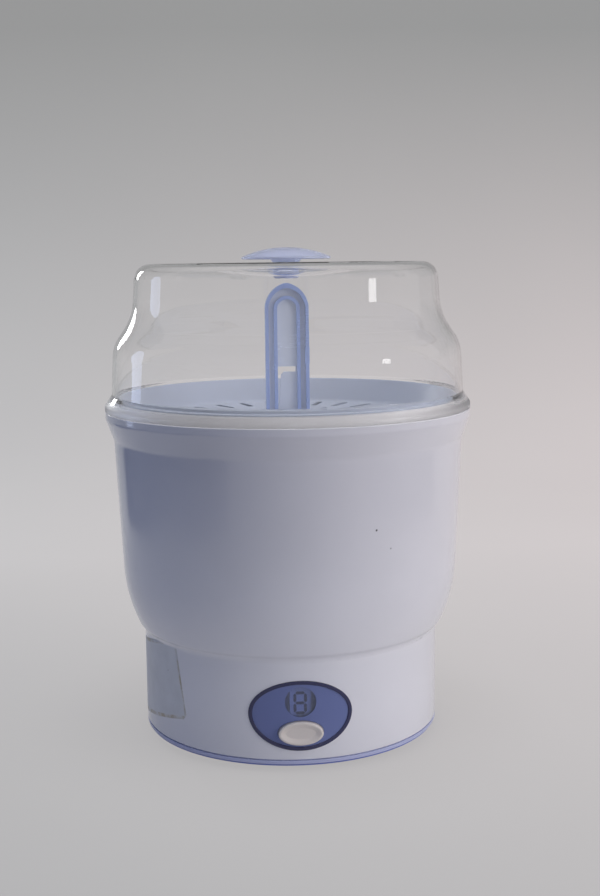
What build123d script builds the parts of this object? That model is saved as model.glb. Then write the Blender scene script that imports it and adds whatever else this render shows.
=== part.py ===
# Electric steam steriliser for feeding bottles, in millimetres.
# The axis of the round body is Z, the feet stand on Z = 0 and the control panel faces -Y.
from build123d import *
import os
from math import cos, radians, sin, sqrt

os.makedirs("parts", exist_ok=True)

# Driving dimensions: heights are above the surface that the feet stand on
rim_radius = 118.0
lip_radius = 117.8
foot_radius = 96.2
shell_wall = 2.6
seat_height = 211.3
lid_top = 304.0
knob_top = 313.7

# Housing outline
ring_top = 8.0
ring_bottom = 5.0
reveal_height = 0.7
reveal_depth = 1.3
foot_crease = Vector(foot_radius, 69.8)
bowl_edge = Vector(99.9, 73.4)
bowl_shoulder = Vector(108.2, 91.7)
flare_start = Vector(112.8, 192.5)
flare_end = Vector(lip_radius, 206.5)
crease_blend = 5.0
edge_blend = 4.0
shoulder_blend = 96.0
flare_blend = 8.0
lip_blend = 4.0
collar_height = 216.5
collar_inner = 110.0
collar_outer = 111.6
groove_floor = 200.5
land_inner = 114.8
inner_knee = Vector(109.8, 192.0)
chamber_floor = 69.5
chamber_floor_radius = 94.9
skirt_inner = foot_radius - shell_wall
plate_opening = 62.0
floor_underside = chamber_floor - shell_wall

# Control panel, an egg-shaped oval on the foot
panel_middle = 36.6
panel_half_width = 31.3
panel_rise = 20.6
panel_drop = 22.8
bezel_width = 2.3
bezel_radius = 96.9
bezel_back = 93.6
fascia_radius = 96.2
fascia_back = 94.4
window_radius = 9.4
window_height = 44.0
window_face = 95.9
button_height = 24.8
button_half_width = 13.6
button_half_height = 7.4
button_gap = 0.35
button_travel = 1.5
button_face = 98.5
button_back = 91.4
flange_front = 92.6

# Electronics behind the panel
board_thickness = 1.6
display_board_front = 83.5
digit_width = 12.6
digit_tall = 19.0
digit_depth = 8.0
switch_side = 6.2
switch_depth = 3.2
plunger_radius = 1.75
plunger_clearance = 0.1
plunger_front = 88.5

# Cover under the foot
cover_bottom = 2.0
cover_top = 4.4
cover_radius = 95.2
boss_circle = 84.0
boss_radius = 4.6
pilot_radius = 1.5
foot_pad_circle = 76.0
foot_pad_radius = 7.0
foot_pad_ceiling = 3.0
inlet_height = 22.0
inlet_turn = 25.0
inlet_bore = 3.75
inlet_side = 12.4
inlet_corner = 1.5

# Heater
plate_flange_radius = 66.5
plate_flange_bottom = 71.1
plate_sheet = 0.8
plate_well_radius = 56.0
plate_well_bottom = 64.2
block_outer = 46.0
block_inner = 20.0
block_thickness = 3.0
element_circle = 34.0
element_radius = 3.6
element_sweep = 300.0
strap_boss = 73.0
strap_seat = 60.0
strap_low = 53.5
strap_sheet = 1.2

# Power board
power_board_bottom = 14.0
power_board_size = (84.0, 56.0)
power_board_centre = 8.0

# Small-parts tray
tray_rim_top = 220.0
tray_rim_inner = 107.6
tray_rim_outer = 109.3
tray_floor = 204.0
tray_wall = 2.0
tray_floor_radius = 100.0
tray_flange_radius = 111.4
tray_flange = 1.2

# Bottle rack
rack_deck = 84.0
rack_deck_thickness = 2.4
rack_radius = 99.0
rack_rim_top = 95.0
bottle_count = 6
bottle_circle = 65.0
bottle_hole = 27.0
collar_wall = 2.0
collar_top = 93.0
leg_circle = 82.0
leg_radius = 4.0
hub_top = 104.0

# Stem handle
handle_width = 28.2
handle_top = 291.2
handle_foot = 88.0
handle_depth = 9.0
outer_rib = 2.2
handle_channel = 3.4
inner_rib = 2.2
inner_depth = 6.6
web_thickness = 1.8
ogive_offset = 3.0
ogive_blend = 6.0
handle_running_gap = 0.6

# Lid
lid_wall = 2.0
lid_corner = Vector(96.6, lid_top)
waist_top = Vector(98.9, 271.2)
waist_bottom = Vector(111.7, 252.3)
flange_start = Vector(113.4, 221.6)
flange_shoulder = Vector(rim_radius, 214.4)
lid_corner_blend = 10.5
waist_top_blend = 35.0
waist_bottom_blend = 24.0
dish_radius = 45.0
dish_flat = 9.6
dish_floor = 298.3
knob_radius = 28.7
knob_rim = 307.5
knob_underside = 306.0
knob_boss = 8.3
knob_spigot = 4.5


def polar(radius, angle):
    """Return the point at a radius and an angle in degrees."""
    return radius * cos(radians(angle)), radius * sin(radians(angle))


def egg(half_width, rise, drop):
    """Draw a closed egg outline about the origin of the current sketch line."""
    EllipticalCenterArc((0, 0), half_width, rise, start_angle=0, arc_size=180)
    EllipticalCenterArc((0, 0), half_width, drop, start_angle=180, arc_size=180)


panel_plane = Plane(origin=(0, 0, panel_middle), x_dir=(1, 0, 0), z_dir=(0, -1, 0))
button_plane = Plane(origin=(0, 0, button_height), x_dir=(1, 0, 0), z_dir=(0, -1, 0))
window_plane = Plane(origin=(0, 0, window_height), x_dir=(1, 0, 0), z_dir=(0, -1, 0))
inlet_outward = (sin(radians(inlet_turn)), cos(radians(inlet_turn)), 0)
inlet_across = (-inlet_outward[1], inlet_outward[0], 0)
rear_inlet_plane = Plane(origin=(0, 0, inlet_height), x_dir=inlet_across, z_dir=inlet_outward)

# Outer housing: skirt, bowl, flared lip, collar for the tray and chamber floor in one moulding
bowl_slope = (bowl_shoulder.X - bowl_edge.X) / (bowl_shoulder.Y - bowl_edge.Y)
inner_shoulder_height = bowl_shoulder.Y + 1.2
inner_shoulder = Vector(
    chamber_floor_radius + bowl_slope * (inner_shoulder_height - chamber_floor),
    inner_shoulder_height,
)
with BuildPart() as outer_housing:
    with BuildSketch(Plane.XZ):
        with BuildLine():
            outer = FilletPolyline(
                (foot_radius, ring_top + 0.3),
                foot_crease,
                bowl_edge,
                bowl_shoulder,
                flare_start,
                flare_end,
                (lip_radius, seat_height - 1.0),
                radius=[crease_blend, edge_blend, shoulder_blend, flare_blend, lip_blend],
            )
            lip = FilletPolyline(
                outer @ 1,
                (lip_radius, seat_height),
                (land_inner, seat_height),
                (land_inner, flare_end.Y + 0.4),
                (collar_outer + 0.6, groove_floor),
                (collar_outer, groove_floor),
                (collar_outer, collar_height),
                (collar_inner, collar_height),
                radius=[0.8, 0.5, 2.0, 0.25, 0.25, 0.5],
            )
            inner = FilletPolyline(
                lip @ 1,
                inner_knee,
                inner_shoulder,
                (chamber_floor_radius, chamber_floor),
                (plate_opening, chamber_floor),
                radius=[30.0, shoulder_blend - 2 * shell_wall, 5.0],
            )
            Polyline(
                inner @ 1,
                (plate_opening, floor_underside),
                (skirt_inner, floor_underside),
                (skirt_inner, ring_top),
                (foot_radius - 0.3, ring_top),
                (foot_radius, ring_top + 0.3),
            )
        make_face()
    revolve(axis=Axis.Z)
    # The four bosses for the screws of the bottom cover hang from the chamber floor
    with BuildSketch(Plane.XY.offset(cover_top)):
        with PolarLocations(boss_circle, 4, start_angle=45):
            Circle(boss_radius)
    extrude(amount=floor_underside - cover_top)
    with BuildSketch(Plane.XY.offset(strap_seat)):
        with Locations((-strap_boss, 0), (strap_boss, 0)):
            Circle(boss_radius)
    extrude(amount=floor_underside - strap_seat)
    with BuildSketch(Plane.XY.offset(cover_top)):
        with PolarLocations(boss_circle, 4, start_angle=45):
            Circle(pilot_radius)
    extrude(amount=22.0, mode=Mode.SUBTRACT)
    with BuildSketch(Plane.XY.offset(strap_seat)):
        with Locations((-strap_boss, 0), (strap_boss, 0)):
            Circle(pilot_radius)
    extrude(amount=6.0, mode=Mode.SUBTRACT)
    with BuildSketch(panel_plane.offset(skirt_inner - 14.0)):
        with BuildLine():
            egg(panel_half_width, panel_rise, panel_drop)
        make_face()
    extrude(amount=30.0, mode=Mode.SUBTRACT)
    with BuildSketch(rear_inlet_plane.offset(skirt_inner - 6.0)):
        RectangleRounded(inlet_side, inlet_side, inlet_corner)
    extrude(amount=20.0, mode=Mode.SUBTRACT)
outer_housing.part.label = "outer_housing"

# Pale trim ring that closes the lower edge of the skirt
with BuildPart() as base_ring:
    with BuildSketch(Plane.XZ):
        with BuildLine():
            Polyline(
                (skirt_inner, ring_bottom),
                (foot_radius - 0.5, ring_bottom),
                (foot_radius - 0.1, ring_bottom + 0.4),
                (foot_radius - 0.1, ring_top - reveal_height - 0.2),
                (foot_radius - 0.3, ring_top - reveal_height),
                (foot_radius - reveal_depth, ring_top - reveal_height),
                (foot_radius - reveal_depth, ring_top),
                (skirt_inner, ring_top),
                close=True,
            )
        make_face()
    revolve(axis=Axis.Z)
base_ring.part.label = "base_ring"

# Bottom cover: dished pan with a register wall inside the skirt, vents, foot pockets and posts
register_outer = skirt_inner - 0.2
card_half_width = 27.0
card_slot = board_thickness + 0.2
card_post_top = 40.0
card_shelf = 8.0
card_middle = display_board_front - board_thickness / 2
post_spots = [(x * 36.0, power_board_centre + y * 22.0) for x in (-1, 1) for y in (-1, 1)]
vent_circle = 44.0
vent_count = 16
vent_length = 16.0
vent_width = 2.0
with BuildPart() as base_cover:
    with BuildSketch(Plane.XZ):
        with BuildLine():
            underside = FilletPolyline(
                (0, cover_bottom),
                (90.0, cover_bottom),
                (cover_radius, ring_bottom - 1.0),
                (cover_radius, ring_bottom),
                radius=[4.0, 0.6],
            )
            Polyline(
                underside @ 1,
                (register_outer, ring_bottom),
                (register_outer, 12.0),
                (register_outer - 1.8, 12.0),
                (register_outer - 1.8, cover_top),
                (0, cover_top),
                (0, cover_bottom),
            )
        make_face()
    revolve(axis=Axis.Z)
    with BuildSketch(Plane.XY.offset(cover_top)):
        with Locations(*post_spots):
            Circle(3.6)
    extrude(amount=power_board_bottom - cover_top)
    # Two slotted posts hold the display board upright
    with BuildSketch(Plane.XY.offset(cover_top)):
        with Locations((-card_half_width, -card_middle), (card_half_width, -card_middle)):
            Rectangle(5.0, 6.0)
    extrude(amount=card_post_top - cover_top)
    with BuildSketch(Plane.XY.offset(card_shelf)):
        with Locations((0, -card_middle)):
            Rectangle(2 * card_half_width, card_slot)
    extrude(amount=card_post_top - card_shelf, mode=Mode.SUBTRACT)
    with BuildSketch(Plane.XY.offset(cover_bottom)):
        with PolarLocations(foot_pad_circle, 4):
            Circle(foot_pad_radius)
    extrude(amount=foot_pad_ceiling - cover_bottom, mode=Mode.SUBTRACT)
    with BuildSketch(Plane.XY.offset(cover_bottom)):
        with PolarLocations(boss_circle, 4, start_angle=45):
            Circle(pilot_radius + 0.4)
    extrude(amount=cover_top - cover_bottom, mode=Mode.SUBTRACT)
    with BuildSketch(Plane.XY.offset(cover_bottom)):
        with PolarLocations(boss_circle, 4, start_angle=45):
            Circle(4.0)
    extrude(amount=1.4, mode=Mode.SUBTRACT)
    with BuildSketch(Plane.XY.offset(cover_bottom)):
        with PolarLocations(vent_circle, vent_count):
            SlotOverall(vent_length, vent_width)
    extrude(amount=cover_top - cover_bottom, mode=Mode.SUBTRACT)
    with BuildSketch(Plane.XY.offset(power_board_bottom - 8.0)):
        with Locations(*post_spots):
            Circle(1.2)
    extrude(amount=8.0, mode=Mode.SUBTRACT)
base_cover.part.label = "base_cover"

with BuildPart() as rubber_feet:
    with BuildSketch(Plane.XY):
        with PolarLocations(foot_pad_circle, 4):
            Circle(foot_pad_radius - 0.1)
    extrude(amount=foot_pad_ceiling)
    chamfer(rubber_feet.faces().sort_by(Axis.Z)[:4].edges(), 0.6)
rubber_feet.part.label = "rubber_feet"

with BuildPart() as cover_screws:
    with BuildSketch(Plane.XY.offset(cover_bottom + 0.2)):
        with PolarLocations(boss_circle, 4, start_angle=45):
            Circle(3.6)
    extrude(amount=1.2)
    with BuildSketch(Plane.XY.offset(cover_bottom + 1.4)):
        with PolarLocations(boss_circle, 4, start_angle=45):
            Circle(pilot_radius - 0.1)
    extrude(amount=20.0)
    with BuildSketch(Plane.XY.offset(cover_bottom + 0.2)):
        with PolarLocations(boss_circle, 4, start_angle=45):
            Rectangle(4.4, 1.0)
            Rectangle(1.0, 4.4)
    extrude(amount=0.7, mode=Mode.SUBTRACT)
cover_screws.part.label = "cover_screws"

# Bush in the rear inlet: its square neck can't turn in the skirt, and a snap rim holds it inside
with BuildPart() as inlet_bush:
    with BuildSketch(rear_inlet_plane.offset(foot_radius)):
        Circle(8.6)
    extrude(amount=1.8)
    chamfer(inlet_bush.faces().sort_by(Axis.Y)[-1].edges(), 0.8)
    with BuildSketch(rear_inlet_plane.offset(skirt_inner - 3.4)):
        RectangleRounded(inlet_side - 0.2, inlet_side - 0.2, inlet_corner - 0.1)
    extrude(amount=foot_radius - skirt_inner + 3.4)
    with BuildSketch(rear_inlet_plane.offset(skirt_inner - 2.6)):
        RectangleRounded(inlet_side + 2.0, inlet_side + 2.0, inlet_corner + 1.0)
    extrude(amount=2.2)
    with BuildSketch(rear_inlet_plane.offset(skirt_inner - 5.0)):
        Circle(inlet_bore)
    extrude(amount=20.0, mode=Mode.SUBTRACT)
inlet_bush.part.label = "inlet_bush"

# Control panel: every front piece is a slice of the skirt's cylinder cut to its outline
with BuildPart() as panel_bezel:
    with BuildSketch(Plane.XY):
        Circle(bezel_radius)
        Circle(bezel_back, mode=Mode.SUBTRACT)
    extrude(amount=2 * panel_middle)
    with BuildSketch(panel_plane):
        with BuildLine():
            egg(panel_half_width, panel_rise, panel_drop)
        make_face()
        with BuildLine():
            egg(panel_half_width - bezel_width, panel_rise - bezel_width, panel_drop - bezel_width)
        make_face(mode=Mode.SUBTRACT)
    extrude(amount=rim_radius, mode=Mode.INTERSECT)
    fillet(panel_bezel.edges().filter_by(GeomType.BSPLINE).group_by(Axis.Y)[0], 0.4)
panel_bezel.part.label = "panel_bezel"

with BuildPart() as panel_fascia:
    with BuildSketch(Plane.XY):
        Circle(fascia_radius)
        Circle(fascia_back, mode=Mode.SUBTRACT)
    extrude(amount=2 * panel_middle)
    with BuildSketch(panel_plane):
        with BuildLine():
            egg(panel_half_width - bezel_width, panel_rise - bezel_width, panel_drop - bezel_width)
        make_face()
        with Locations((0, window_height - panel_middle)):
            Circle(window_radius, mode=Mode.SUBTRACT)
        with Locations((0, button_height - panel_middle)):
            Ellipse(button_half_width + button_gap, button_half_height + button_gap, mode=Mode.SUBTRACT)
    extrude(amount=rim_radius, mode=Mode.INTERSECT)
panel_fascia.part.label = "panel_fascia"

with BuildPart() as display_window:
    with BuildSketch(Plane.XY):
        Circle(window_face)
        Circle(fascia_back, mode=Mode.SUBTRACT)
    extrude(amount=2 * panel_middle)
    with BuildSketch(window_plane):
        Circle(window_radius)
    extrude(amount=rim_radius, mode=Mode.INTERSECT)
display_window.part.label = "display_window"

# Button: a hollow oval cap with a dished face, a retaining flange and a push stem
with BuildPart() as button_cap:
    with BuildSketch(button_plane.offset(button_back)):
        Ellipse(button_half_width, button_half_height)
    extrude(amount=button_face - button_back)
    fillet(button_cap.faces().sort_by(Axis.Y)[0].edges(), 1.1)
    with BuildSketch(button_plane.offset(button_face)):
        Ellipse(button_half_width - 1.5, button_half_height - 1.5)
    with BuildSketch(button_plane.offset(button_face - 1.1)):
        Ellipse(button_half_width - 4.6, button_half_height - 3.9)
    loft(mode=Mode.SUBTRACT)
    with BuildSketch(button_plane.offset(button_back)):
        Ellipse(button_half_width + 1.4, button_half_height + 1.4)
    extrude(amount=flange_front - button_back)
    with BuildSketch(button_plane.offset(button_back)):
        Ellipse(button_half_width - 1.6, button_half_height - 1.6)
    extrude(amount=button_face - button_back - 2.8, mode=Mode.SUBTRACT)
    with BuildSketch(button_plane.offset(plunger_front)):
        Circle(2.6)
    extrude(amount=button_face - plunger_front - 2.4)
button_cap.part.label = "button_cap"

with BuildPart() as switch_plunger:
    with BuildSketch(button_plane.offset(display_board_front + switch_depth - 1.1)):
        Circle(plunger_radius)
    extrude(amount=plunger_front - display_board_front - switch_depth + 1.1)
switch_plunger.part.label = "switch_plunger"

with BuildPart() as switch_body:
    with BuildSketch(button_plane.offset(display_board_front)):
        Rectangle(switch_side, switch_side)
    extrude(amount=switch_depth)
    with BuildSketch(button_plane.offset(display_board_front + switch_depth)):
        Circle(plunger_radius + plunger_clearance)
    extrude(amount=-(button_travel + 1.3), mode=Mode.SUBTRACT)
switch_body.part.label = "switch_body"

with BuildPart() as display_board:
    with BuildSketch(Plane.XY.offset(card_shelf)):
        with Locations((0, -card_middle)):
            Rectangle(2 * card_half_width - 0.4, board_thickness)
    extrude(amount=56.0 - card_shelf)
display_board.part.label = "display_board"

with BuildPart() as digit_module:
    with BuildSketch(window_plane.offset(display_board_front)):
        Rectangle(digit_width, digit_tall)
    extrude(amount=digit_depth)
digit_module.part.label = "digit_module"

# Heating plate: a pressed stainless dish whose flange lies on a silicone ring
with BuildPart() as plate_seal:
    with BuildSketch(Plane.XZ):
        with BuildLine():
            Polyline(
                (plate_opening - 1.8, floor_underside - 0.9),
                (plate_opening, floor_underside - 0.9),
                (plate_opening, chamber_floor),
                (plate_flange_radius + 1.6, chamber_floor),
                (plate_flange_radius + 1.6, plate_flange_bottom),
                (plate_opening - 1.0, plate_flange_bottom),
                (plate_opening - 1.8, chamber_floor),
                close=True,
            )
        make_face()
    revolve(axis=Axis.Z)
    fillet(plate_seal.edges().filter_by(GeomType.CIRCLE).group_by(Axis.Z)[-1].sort_by(SortBy.RADIUS)[-1], 0.7)
plate_seal.part.label = "plate_seal"

with BuildPart() as heating_plate:
    well_top = plate_flange_bottom + plate_sheet
    with BuildSketch(Plane.XZ):
        with BuildLine():
            upper = FilletPolyline(
                (0, plate_well_bottom + plate_sheet),
                (plate_well_radius, plate_well_bottom + plate_sheet),
                (plate_opening - 2.6, well_top),
                (plate_flange_radius, well_top),
                radius=[2.4, 1.6],
            )
            lower = FilletPolyline(
                (plate_flange_radius, plate_flange_bottom),
                (plate_opening - 2.2, plate_flange_bottom),
                (plate_well_radius + 0.4, plate_well_bottom),
                (0, plate_well_bottom),
                radius=[0.8, 3.2],
            )
            Line(upper @ 1, lower @ 0)
            Line(lower @ 1, upper @ 0)
        make_face()
    revolve(axis=Axis.Z)
heating_plate.part.label = "heating_plate"

block_bottom = plate_well_bottom - block_thickness
with BuildPart() as heater_block:
    with BuildSketch(Plane.XY.offset(block_bottom)):
        Circle(block_outer)
        Circle(block_inner, mode=Mode.SUBTRACT)
    extrude(amount=block_thickness)
    chamfer(heater_block.faces().sort_by(Axis.Z)[0].edges(), 0.8)
heater_block.part.label = "heater_block"

# Tubular element: flat on top where it is brazed on, open at the back, with two cold ends
element_middle = block_bottom - element_radius + 0.6
element_start = 90 + (360 - element_sweep) / 2
with BuildPart() as heater_element:
    with BuildSketch(Plane.XZ.rotated((0, 0, element_start))):
        with Locations((element_circle, element_middle)):
            Circle(element_radius)
        with Locations((element_circle, block_bottom + 5.0)):
            Rectangle(20.0, 10.0, mode=Mode.SUBTRACT)
    revolve(axis=Axis.Z, revolution_arc=element_sweep)
    pin_angles = (element_start + 3.0, element_start + element_sweep - 3.0)
    pin_spots = [polar(element_circle, angle) for angle in pin_angles]
    with BuildSketch(Plane.XY.offset(element_middle - 14.0)):
        with Locations(*pin_spots):
            Circle(1.6)
    extrude(amount=14.0)
    with BuildSketch(Plane.XY.offset(element_middle - 21.0)):
        with Locations(*pin_spots):
            Rectangle(0.8, 6.3)
    extrude(amount=8.0)
heater_element.part.label = "heater_element"

# Strap that draws the plate down on its seal and presses the thermostat against it
strap_points = [(0, strap_low), (46.0, strap_low), (62.0, strap_seat), (80.0, strap_seat)]
with BuildPart() as heater_strap:
    with BuildSketch(Plane.XZ.offset(-7.0)):
        with BuildLine():
            top = Polyline(*strap_points)
            bottom = Polyline(*[(x + (0.5 if 0 < x < 80 else 0), z - strap_sheet) for x, z in strap_points])
            Line(top @ 0, bottom @ 0)
            Line(top @ 1, bottom @ 1)
        make_face()
        mirror(about=Plane.YZ)
    extrude(amount=14.0)
    with BuildSketch(Plane.XY.offset(strap_seat - 5.0)):
        with Locations((-strap_boss, 0), (strap_boss, 0)):
            Circle(pilot_radius + 0.3)
    extrude(amount=10.0, mode=Mode.SUBTRACT)
heater_strap.part.label = "heater_strap"

with BuildPart() as strap_screws:
    with BuildSketch(Plane.XY.offset(strap_seat - strap_sheet - 1.8)):
        with Locations((-strap_boss, 0), (strap_boss, 0)):
            Circle(3.2)
    extrude(amount=1.8)
    with BuildSketch(Plane.XY.offset(strap_seat - strap_sheet)):
        with Locations((-strap_boss, 0), (strap_boss, 0)):
            Circle(pilot_radius - 0.1)
    extrude(amount=strap_sheet + 5.5)
strap_screws.part.label = "strap_screws"

with BuildPart() as thermostat:
    with BuildSketch(Plane.XY.offset(plate_well_bottom - 4.5)):
        Circle(8.2)
    extrude(amount=4.5)
    with BuildSketch(Plane.XY.offset(strap_low)):
        Circle(6.8)
    extrude(amount=plate_well_bottom - 4.5 - strap_low)
    with BuildSketch(Plane.XY.offset(plate_well_bottom - 7.5)):
        with Locations((0, -10.5), (0, 10.5)):
            Rectangle(6.3, 9.0)
    extrude(amount=0.8)
thermostat.part.label = "thermostat"

# Thermal cut-out clipped to the block in the gap of the element
fuse_radius = 2.2
with BuildPart() as thermal_fuse:
    with BuildSketch(Plane.YZ.offset(-7.0)):
        with Locations((element_circle, block_bottom - fuse_radius)):
            Circle(fuse_radius)
    extrude(amount=14.0)
    with BuildSketch(Plane.YZ.offset(-10.0)):
        with Locations((element_circle, block_bottom - fuse_radius)):
            Circle(0.5)
    extrude(amount=20.0)
thermal_fuse.part.label = "thermal_fuse"

# Power board on four posts of the bottom cover
with BuildPart() as power_board:
    with BuildSketch(Plane.XY.offset(power_board_bottom)):
        with Locations((0, power_board_centre)):
            RectangleRounded(*power_board_size, 3.0)
        with Locations(*post_spots):
            Circle(1.5, mode=Mode.SUBTRACT)
    extrude(amount=board_thickness)
power_board.part.label = "power_board"

power_board_top = power_board_bottom + board_thickness
with BuildPart() as board_screws:
    with BuildSketch(Plane.XY.offset(power_board_top)):
        with Locations(*post_spots):
            Circle(2.6)
    extrude(amount=1.6)
    with BuildSketch(Plane.XY.offset(power_board_bottom - 7.0)):
        with Locations(*post_spots):
            Circle(1.1)
    extrude(amount=8.6)
board_screws.part.label = "board_screws"

with BuildPart() as transformer:
    with BuildSketch(Plane.XY.offset(power_board_top)):
        with Locations((-18.5, 17.0)):
            Rectangle(27.0, 22.0)
    extrude(amount=19.0)
    chamfer(transformer.edges().filter_by(Axis.Z), 1.0)
transformer.part.label = "transformer"

with BuildPart() as relay:
    with BuildSketch(Plane.XY.offset(power_board_top)):
        with Locations((18.0, 22.0)):
            Rectangle(19.0, 15.5)
    extrude(amount=15.0)
    fillet(relay.faces().sort_by(Axis.Z)[-1].edges(), 0.6)
relay.part.label = "relay"

with BuildPart() as capacitor:
    with BuildSketch(Plane.XY.offset(power_board_top)):
        with Locations((18.0, 0)):
            Circle(6.3)
    extrude(amount=16.0)
    chamfer(capacitor.faces().sort_by(Axis.Z)[-1].edges(), 0.6)
capacitor.part.label = "capacitor"

with BuildPart() as terminal_block:
    with BuildSketch(Plane.XY.offset(power_board_top)):
        with Locations((-18.0, -8.0)):
            Rectangle(30.0, 9.0)
    extrude(amount=11.0)
    with BuildSketch(Plane.XY.offset(power_board_top + 11.0)):
        with Locations((-18.0, -8.0)):
            with GridLocations(10.0, 1.0, 3, 1):
                Circle(2.4)
    extrude(amount=-4.0, mode=Mode.SUBTRACT)
terminal_block.part.label = "terminal_block"

# Small-parts tray: a dish with a small rest flange, drain slots and a slot for the stem
tray_slope = (tray_rim_inner - tray_floor_radius) / (tray_rim_top - tray_floor)
tray_side = tray_wall * sqrt(1 + tray_slope**2)
flange_top = collar_height + tray_flange
tray_neck = tray_floor_radius + tray_slope * (collar_height - tray_floor) + tray_side
tray_heel = tray_neck - tray_slope * (collar_height - tray_floor + tray_wall)
with BuildPart() as parts_tray:
    with BuildSketch(Plane.XZ):
        with BuildLine():
            inside = FilletPolyline(
                (0, tray_floor),
                (tray_floor_radius, tray_floor),
                (tray_rim_inner, tray_rim_top),
                (tray_rim_outer, tray_rim_top),
                (tray_rim_outer, flange_top),
                (tray_flange_radius, flange_top),
                (tray_flange_radius, collar_height),
                radius=[3.0, 0.6, 0.6, 0.3, 0.4],
            )
            outside = FilletPolyline(
                inside @ 1,
                (tray_neck, collar_height),
                (tray_heel, tray_floor - tray_wall),
                (0, tray_floor - tray_wall),
                radius=[0.5, 4.0],
            )
            Line(outside @ 1, inside @ 0)
        make_face()
    revolve(axis=Axis.Z)
    with BuildSketch(Plane.XY.offset(tray_floor)):
        RectangleRounded(handle_width + 6.0, handle_depth + 6.0, 3.0)
    extrude(amount=3.0)
    with BuildSketch(Plane.XY.offset(tray_floor - tray_wall)):
        Rectangle(handle_width + 2 * handle_running_gap, handle_depth + 2 * handle_running_gap)
    extrude(amount=6.0, mode=Mode.SUBTRACT)
    with BuildSketch(Plane.XY.offset(tray_floor - tray_wall)):
        with PolarLocations(46.0, 18):
            SlotOverall(26.0, 4.0)
        with PolarLocations(82.0, 30):
            SlotOverall(24.0, 4.0)
    extrude(amount=tray_wall, mode=Mode.SUBTRACT)
parts_tray.part.label = "parts_tray"

# Bottle rack: a perforated deck on legs, six collars for upturned bottles and a socket hub
with BuildPart() as bottle_rack:
    with BuildSketch(Plane.XZ):
        with BuildLine():
            Polyline(
                (0, rack_deck),
                (rack_radius, rack_deck),
                (rack_radius, rack_rim_top),
                (rack_radius - 2.0, rack_rim_top),
                (rack_radius - 2.0, rack_deck + rack_deck_thickness),
                (0, rack_deck + rack_deck_thickness),
                close=True,
            )
        make_face()
    revolve(axis=Axis.Z)
    with BuildSketch(Plane.XY.offset(rack_deck)):
        with PolarLocations(bottle_circle, bottle_count):
            Circle(bottle_hole + collar_wall)
    extrude(amount=collar_top - rack_deck)
    with BuildSketch(Plane.XY.offset(chamber_floor)):
        with PolarLocations(leg_circle, bottle_count, start_angle=30):
            Circle(leg_radius)
    extrude(amount=rack_deck - chamber_floor)
    with BuildSketch(Plane.XY.offset(rack_deck)):
        RectangleRounded(handle_width + 7.0, handle_depth + 7.0, 4.0)
    extrude(amount=hub_top - rack_deck)
    with BuildSketch(Plane.XY.offset(rack_deck)):
        with PolarLocations(bottle_circle, bottle_count):
            Circle(bottle_hole)
    extrude(amount=collar_top - rack_deck, mode=Mode.SUBTRACT)
    with BuildSketch(Plane.XY.offset(handle_foot)):
        Rectangle(handle_width + 0.2, handle_depth + 0.2)
    extrude(amount=hub_top - handle_foot, mode=Mode.SUBTRACT)
bottle_rack.part.label = "bottle_rack"

# Stem handle: an arch of two ribs on a thin web, with a gap round the corner of its panel
half_width = handle_width / 2
ogive_radius = half_width + ogive_offset
ogive_rise = sqrt((ogive_radius - ogive_blend) ** 2 - ogive_offset**2) + ogive_blend
spring_line = handle_top - ogive_rise
panel_half = half_width - outer_rib - handle_channel - inner_rib
gap_top = 237.3
gap_bottom = 212.0
gap_height = 3.6
gap_width = 2.2
gap_end = panel_half - 1.0
tongue_top = gap_top - gap_height
tongue_chamfer = 1.8


def arch(inset):
    """Draw the closed outline of the stem, drawn in on all sides but its foot, rounder further in."""
    half = half_width - inset
    lean = ogive_offset * max(1 - inset / (outer_rib + handle_channel), 0)
    side = Line((half, handle_foot), (half, spring_line))
    if lean:
        reach = half + lean
        rise = sqrt((reach - ogive_blend) ** 2 - lean**2)
        stretch = reach / (reach - ogive_blend)
        joint = Vector(lean * (stretch - 1), spring_line + rise * stretch)
        RadiusArc(side @ 1, joint, -reach)
        ThreePointArc(joint, (0, spring_line + rise + ogive_blend), (-joint.X, joint.Y))
        RadiusArc((-joint.X, joint.Y), (-half, spring_line), -reach)
    else:
        ThreePointArc(side @ 1, (0, spring_line + half), (-half, spring_line))
    Line((-half, spring_line), (-half, handle_foot))
    Line((-half, handle_foot), (half, handle_foot))


with BuildPart() as stem_handle:
    with BuildSketch(Plane.XZ):
        with BuildLine():
            arch(0)
        make_face()
    extrude(amount=web_thickness / 2, both=True)
    with BuildSketch(Plane.XZ):
        with BuildLine():
            arch(0)
        make_face()
        with BuildLine():
            arch(outer_rib)
        make_face(mode=Mode.SUBTRACT)
    extrude(amount=handle_depth / 2, both=True)
    with BuildSketch(Plane.XZ):
        with BuildLine():
            arch(outer_rib + handle_channel)
        make_face()
        with BuildLine():
            arch(outer_rib + handle_channel + inner_rib)
        make_face(mode=Mode.SUBTRACT)
    extrude(amount=inner_depth / 2, both=True)
    with BuildSketch(Plane.XZ):
        with BuildLine():
            Polyline(
                (-panel_half, gap_bottom),
                (-panel_half, gap_top),
                (gap_end, gap_top),
                (gap_end, tongue_top),
                (-panel_half + gap_width + tongue_chamfer, tongue_top),
                (-panel_half + gap_width, tongue_top - tongue_chamfer),
                (-panel_half + gap_width / 4, gap_bottom),
                close=True,
            )
        make_face()
    extrude(amount=handle_depth, both=True, mode=Mode.SUBTRACT)
stem_handle.part.label = "stem_handle"

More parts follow.
